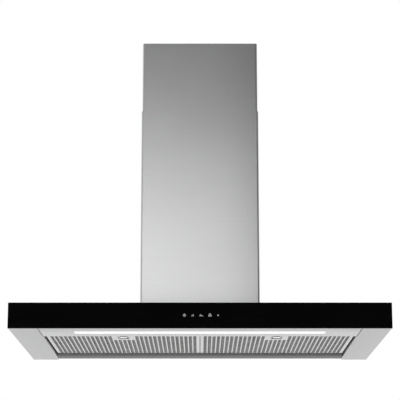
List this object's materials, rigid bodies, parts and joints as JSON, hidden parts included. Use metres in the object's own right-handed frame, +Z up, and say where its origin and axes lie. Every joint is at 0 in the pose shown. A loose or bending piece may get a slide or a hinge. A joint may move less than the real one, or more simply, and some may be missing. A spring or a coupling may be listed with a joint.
{
  "type": "island range hood",
  "caption": "Ceiling-hung island cooker hood: square two-part telescopic steel flue over a flat canopy with a black glass front, light bar and slotted grease filters",
  "frame": {"origin": "centre of the ceiling plate's top face, where the hood is fixed to the ceiling", "axes": "+Z up to the ceiling, +X to the right of somebody who faces the glass, +Y from the glass to the rear"},
  "size_m": [0.898, 0.598, 0.748],
  "materials": {
    "brushed": "satin brushed stainless steel",
    "galvanised": "zinc-coated sheet, dull",
    "filter_steel": "satin stainless steel",
    "mesh": "expanded aluminium mesh",
    "black_glass": "black back-painted toughened glass",
    "diffuser": "frosted white polycarbonate",
    "white_board": "white solder mask",
    "green_board": "green solder mask",
    "dark_plastic": "moulded black plastic",
    "grey_plastic": "moulded grey plastic",
    "dark_steel": "plain steel"
  },
  "bodies": {
    "ceiling_frame": {"ceiling_plate": "galvanised", "upper_tie": "galvanised", "upper_upright_front_left": "galvanised", "upper_upright_front_right": "galvanised", "upper_upright_rear_left": "galvanised", "upper_upright_rear_right": "galvanised"},
    "upper_flue": {"flue_screw_left": "dark_steel", "flue_screw_right": "dark_steel", "upper_flue_front": "brushed", "upper_flue_rear": "brushed"},
    "hood": {"base_frame": "galvanised", "bay_partition": "galvanised", "blower_box": "galvanised", "blower_scroll_left": "grey_plastic", "blower_scroll_right": "grey_plastic", "cable_gland": "dark_plastic", "canopy_shell": "brushed", "capacitor": "grey_plastic", "clamp_bolt_front_left": "dark_steel", "clamp_bolt_front_right": "dark_steel", "clamp_bolt_rear_left": "dark_steel", "clamp_bolt_rear_right": "dark_steel", "control_box": "grey_plastic", "control_box_lid": "dark_plastic", "flap_spindle": "dark_steel", "front_frame": "galvanised", "glass_panel": "black_glass", "inlet_ring_left": "dark_plastic", "inlet_ring_right": "dark_plastic", "led_board": "white_board", "led_housing": "grey_plastic", "light_diffuser": "diffuser", "light_panel": "brushed", "lower_flue_front": "brushed", "lower_flue_rear": "brushed", "lower_tie": "galvanised", "lower_upright_front_left": "galvanised", "lower_upright_front_right": "galvanised", "lower_upright_rear_left": "galvanised", "lower_upright_rear_right": "galvanised", "motor": "dark_steel", "motor_bracket": "galvanised", "outlet_collar": "dark_plastic", "rear_fascia": "brushed", "rear_rail": "galvanised", "touch_board": "green_board"},
    "impeller": {"impeller": "dark_plastic", "motor_shaft": "dark_steel"},
    "flap_front": {"flap_front": "dark_plastic"},
    "flap_rear": {"flap_rear": "dark_plastic"},
    "filter_left": {"filter_face_left": "filter_steel", "filter_mesh_left": "mesh", "filter_back_left": "filter_steel", "latch_spring_left": "dark_steel"},
    "filter_right": {"filter_face_right": "filter_steel", "filter_mesh_right": "mesh", "filter_back_right": "filter_steel", "latch_spring_right": "dark_steel"},
    "latch_left": {"filter_latch_left": "filter_steel"},
    "latch_right": {"filter_latch_right": "filter_steel"}
  },
  "joints": [
    {"name": "height_adjust", "type": "slide", "parent": "ceiling_frame", "child": "hood", "axis": [0, 0, 1], "range_m": [-0.18, 0.12]},
    {"name": "upper_flue_drop", "type": "slide", "parent": "ceiling_frame", "child": "upper_flue", "axis": [0, 0, 1], "range_m": [-0.12, 0]},
    {"name": "impeller_spin", "type": "hinge", "parent": "hood", "child": "impeller", "pos_m": [0, -0.014, -0.575], "axis": [1, 0, 0], "continuous": true},
    {"name": "flap_rear_lift", "type": "hinge", "parent": "hood", "child": "flap_rear", "pos_m": [0, 0, -0.44], "axis": [1, 0, 0], "range_deg": [0, 78]},
    {"name": "flap_front_lift", "type": "hinge", "parent": "hood", "child": "flap_front", "pos_m": [0, 0, -0.44], "axis": [-1, 0, 0], "range_deg": [0, 78]},
    {"name": "filter_left_swing", "type": "hinge", "parent": "hood", "child": "filter_left", "pos_m": [-0.1881, 0.227, -0.7344], "axis": [1, 0, 0], "range_deg": [0, 55]},
    {"name": "latch_left_slide", "type": "slide", "parent": "filter_left", "child": "latch_left", "axis": [0, 1, 0], "range_m": [0, 0.005], "stiffness_N_per_m": 400, "springref_m": -0.003, "deforming": ["latch_spring_left"]},
    {"name": "filter_right_swing", "type": "hinge", "parent": "hood", "child": "filter_right", "pos_m": [0.1881, 0.227, -0.7344], "axis": [1, 0, 0], "range_deg": [0, 55]},
    {"name": "latch_right_slide", "type": "slide", "parent": "filter_right", "child": "latch_right", "axis": [0, 1, 0], "range_m": [0, 0.005], "stiffness_N_per_m": 400, "springref_m": -0.003, "deforming": ["latch_spring_right"]}
  ]
}
